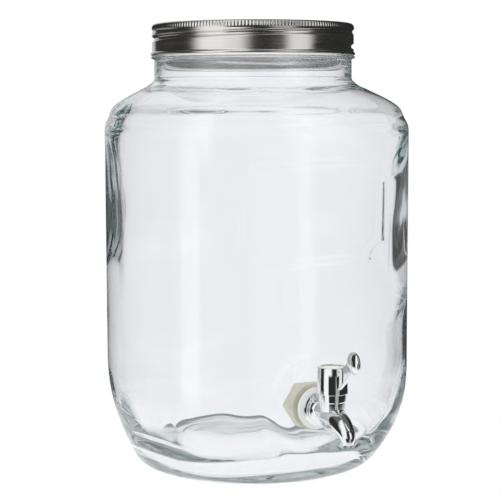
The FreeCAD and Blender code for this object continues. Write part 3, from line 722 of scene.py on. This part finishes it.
def make_handle():
    bm = bmesh.new()
    spin_profile(bm, SLEEVE)
    close_shells(bm)
    round_edges(bm, 0.45, 4, 50.0)
    absorb(bm, make_arm())
    bmesh.ops.translate(bm, vec=TAP, verts=bm.verts)
    finish_piece("tap_handle", bm, "handle", "handle_lever", tap_chrome, recalc=False)


make_jar()
make_lid()
make_ring("lid_gasket", "lid_seal_ring", "lid_seal", seal_rubber,
          inner=61.5, outer=67.0, thickness=1.6, rounding=0.4, place=(0, 0, 307.3), along=UP)
make_ring("outer_washer", "tap_outer_washer", "jar", soft_washer,
          inner=8.1, outer=14.0, thickness=2.94, rounding=1.0,
          place=(0, PAD_FACE - WASHER_GAP, TAP.z), along=(0, -1, 0))
make_ring("inner_washer", "tap_inner_washer", "jar", milky_plastic,
          inner=8.1, outer=15.5, thickness=2.44, rounding=0.8,
          place=(0, SPOT_FACE + WASHER_GAP, TAP.z), along=(0, 1, 0))
make_nut()
make_tap_body()
make_handle()
for node, material in (("valve_core", cream_plastic), ("lower_core_ring", ring_rubber),
                       ("upper_core_ring", ring_rubber)):
    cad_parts[node].data.materials.clear()
    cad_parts[node].data.materials.append(material)


# Studio, in metres and degrees
CAMERA_TURN, CAMERA_PITCH, CAMERA_ROLL = -24.4, 6.02, 0.15
CAMERA_DISTANCE, CAMERA_HEIGHT = 1.034, 0.259
SENSOR_WIDTH = 36.0
# Picture width, focal length and the jar's offset from the picture's middle, in pixels
PICTURE_WIDTH, FOCAL_LENGTH, JAR_OFFSET = 500, 1456, 3
TABLE_RADIUS, TABLE_DROP, TABLE_FADE = 0.6, 0.0003, (0.16, 0.28)
# Soft boxes: turn from the camera, half width, softness and level; the short ones stand below the horizon
TALL_BOXES = ((-37, 28, 11, 1.05), (54, 13, 8, 1.0), (-160, 11, 4, 0.65))
SHORT_BOXES = ((-50, 18, 3, 1.05), (37, 14, 3, 0.45), (-122, 21, 5, 0.25))
LIGHT_BOUNCES = 96


def make_floor():
    """White table that fades into the backdrop; seen through glass it stays bright."""
    bm = bmesh.new()
    bmesh.ops.create_circle(bm, cap_ends=True, segments=ROUND_STEPS, radius=TABLE_RADIUS)
    mesh = bpy.data.meshes.new("floor")
    bm.to_mesh(mesh)
    bm.free()
    floor = bpy.data.objects.new("floor", mesh)
    bpy.context.scene.collection.objects.link(floor)
    floor.location.z = -TABLE_DROP
    material = bpy.data.materials.new("white_floor")
    material.use_nodes = True
    tree = material.node_tree
    nodes, links = tree.nodes, tree.links
    nodes.clear()
    output = nodes.new("ShaderNodeOutputMaterial")
    paper = nodes.new("ShaderNodeBsdfDiffuse")
    paper.inputs["Color"].default_value = (0.97, 0.97, 0.97, 1)
    glow = nodes.new("ShaderNodeEmission")
    glow.inputs["Color"].default_value = (1, 1, 1, 1)
    glow.inputs["Strength"].default_value = 1.0
    backdrop = nodes.new("ShaderNodeBsdfTransparent")
    path = nodes.new("ShaderNodeLightPath").outputs
    seen = add_math(tree, "MAXIMUM", path["Is Camera Ray"], path["Is Transmission Ray"])
    place = nodes.new("ShaderNodeTexCoord").outputs["Object"]
    away = add_vector_math(tree, "LENGTH", place)["Value"]

    def mix(factor, first, second):
        node = nodes.new("ShaderNodeMixShader")
        for socket, value in zip(node.inputs, (factor, first, second)):
            links.new(value, socket)
        return node.outputs["Shader"]

    table = mix(add_math(tree, "MULTIPLY", seen, 0.85), paper.outputs["BSDF"], glow.outputs["Emission"])
    faded = mix(add_range(tree, away, *TABLE_FADE, 0.0, 1.0, smooth=True), table, backdrop.outputs["BSDF"])
    links.new(faded, output.inputs["Surface"])
    mesh.materials.append(material)


def make_studio_light():
    """White room with tall soft boxes; dark cards between them give metal and glass their edges."""
    world = bpy.data.worlds.new("studio")
    bpy.context.scene.world = world
    world.use_nodes = True
    world.cycles.sampling_method = "NONE"
    tree = world.node_tree
    nodes, links = tree.nodes, tree.links
    nodes.clear()
    output = nodes.new("ShaderNodeOutputWorld")
    background = nodes.new("ShaderNodeBackground")
    path = nodes.new("ShaderNodeLightPath").outputs
    direction = nodes.new("ShaderNodeTexCoord").outputs["Generated"]
    level_direction = add_vector_math(tree, "MULTIPLY", direction, (1, 1, 0))["Vector"]
    heading = add_vector_math(tree, "NORMALIZE", level_direction)["Vector"]
    split = nodes.new("ShaderNodeSeparateXYZ")
    links.new(direction, split.inputs["Vector"])
    height = split.outputs["Z"]

    def soft_box(turn, half_width, softness, level):
        angle = math.radians(CAMERA_TURN + turn)
        middle = (math.sin(angle), -math.cos(angle), 0)
        facing = add_vector_math(tree, "DOT_PRODUCT", heading, middle)["Value"]
        return add_range(tree, facing, math.cos(math.radians(half_width + softness)),
                         math.cos(math.radians(half_width - softness)), 0.0, level, smooth=True)

    def by_height(low, high, level):
        return add_range(tree, height, low, high, 0.0, level, smooth=True)

    def total(*values):
        return add_math(tree, "ADD", *values)

    def product(*values):
        return add_math(tree, "MULTIPLY", *values)

    def brightest(*values):
        return add_math(tree, "MAXIMUM", *values)

    def rest_of(value):
        return add_math(tree, "SUBTRACT", 1.0, value)

    # What metal mirrors, what bounces about inside the glass near and far, what is seen through it
    upper = by_height(-0.06, -0.01, 1.0)
    tall = total(*[soft_box(*box) for box in TALL_BOXES])
    short = total(*[soft_box(*box) for box in SHORT_BOXES])
    boxes = total(product(tall, upper), product(short, rest_of(upper)))
    room = total(brightest(boxes, by_height(0.55, 0.8, 0.12)), 0.03)
    around = brightest(by_height(-0.2, -0.34, 0.85), by_height(0.12, 0.3, 0.65), soft_box(-18, 136, 12, 0.6))
    near_glass = brightest(total(room, 0.06), around)
    far_glass = brightest(room, total(soft_box(180, 30, 8, 0.4), 0.45))
    view = rest_of(by_height(0.25, 0.5, 0.6))
    even = total(product(height, 0.22), product(room, 0.25), 0.90)

    # Which of them a ray gets
    through = path["Is Transmission Ray"]
    mirrored = add_math(tree, "MINIMUM", path["Glossy Depth"], 1.0)
    diffuse = add_math(tree, "MINIMUM", path["Diffuse Depth"], 1.0)
    shallow = add_math(tree, "LESS_THAN", path["Transmission Depth"], 2.5)
    bounced = add_blend(tree, shallow, far_glass, near_glass)
    specular = add_blend(tree, product(through, mirrored), room, bounced)
    seen = add_blend(tree, product(through, rest_of(mirrored)), specular, view)
    lit = add_blend(tree, diffuse, seen, even)
    strength = add_blend(tree, path["Is Camera Ray"], lit, 1.0)
    background.inputs["Color"].default_value = (1, 1, 1, 1)
    links.new(strength, background.inputs["Strength"])
    links.new(background.outputs["Background"], output.inputs["Surface"])


def make_camera():
    camera = bpy.data.cameras.new("camera")
    camera.sensor_width = SENSOR_WIDTH
    camera.lens = SENSOR_WIDTH * FOCAL_LENGTH / PICTURE_WIDTH
    camera.clip_start = 0.05
    camera.clip_end = 50.0
    eye = bpy.data.objects.new("camera", camera)
    bpy.context.scene.collection.objects.link(eye)
    angle = math.radians(CAMERA_TURN)
    eye.location = (CAMERA_DISTANCE * math.sin(angle), -CAMERA_DISTANCE * math.cos(angle), CAMERA_HEIGHT)
    aim = math.atan(JAR_OFFSET / FOCAL_LENGTH)
    tilt, roll = math.radians(90 - CAMERA_PITCH), math.radians(CAMERA_ROLL)
    eye.rotation_euler = Euler((tilt, roll, angle + aim), "XYZ")
    bpy.context.scene.camera = eye


make_floor()
make_camera()
make_studio_light()
scene = bpy.context.scene
scene.view_settings.view_transform = "Standard"
scene.cycles.max_bounces = LIGHT_BOUNCES
scene.cycles.transmission_bounces = LIGHT_BOUNCES
scene.cycles.glossy_bounces = LIGHT_BOUNCES
scene.cycles.blur_glossy = 0.0
